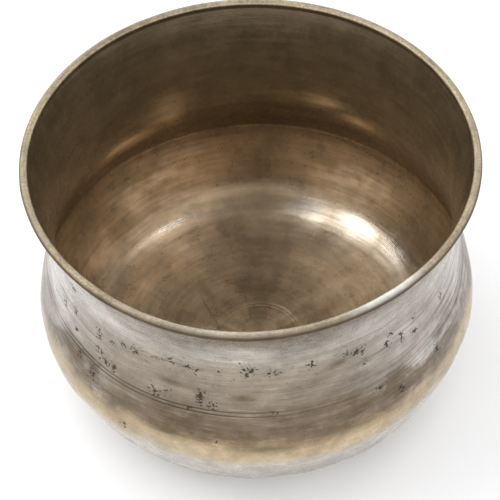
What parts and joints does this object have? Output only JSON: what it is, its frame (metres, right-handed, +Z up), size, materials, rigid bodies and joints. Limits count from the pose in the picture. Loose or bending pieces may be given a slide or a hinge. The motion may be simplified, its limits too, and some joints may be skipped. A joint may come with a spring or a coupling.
{
  "type": "brass urli bowl",
  "caption": "Deep round brass urli bowl with a beaded, slightly flared lip, a shallow neck, a full belly and a small flat base.",
  "frame": {"origin": "centre of the flat base, on the surface the bowl stands on", "axes": "+Z up along the bowl's axis of revolution, out of its mouth"},
  "size_m": [0.2344, 0.2344, 0.1561],
  "materials": {
    "aged_brass": "aged and brushed, with a brown patina inside"
  },
  "bodies": {
    "root": {"bowl": "aged_brass"}
  },
  "joints": []
}
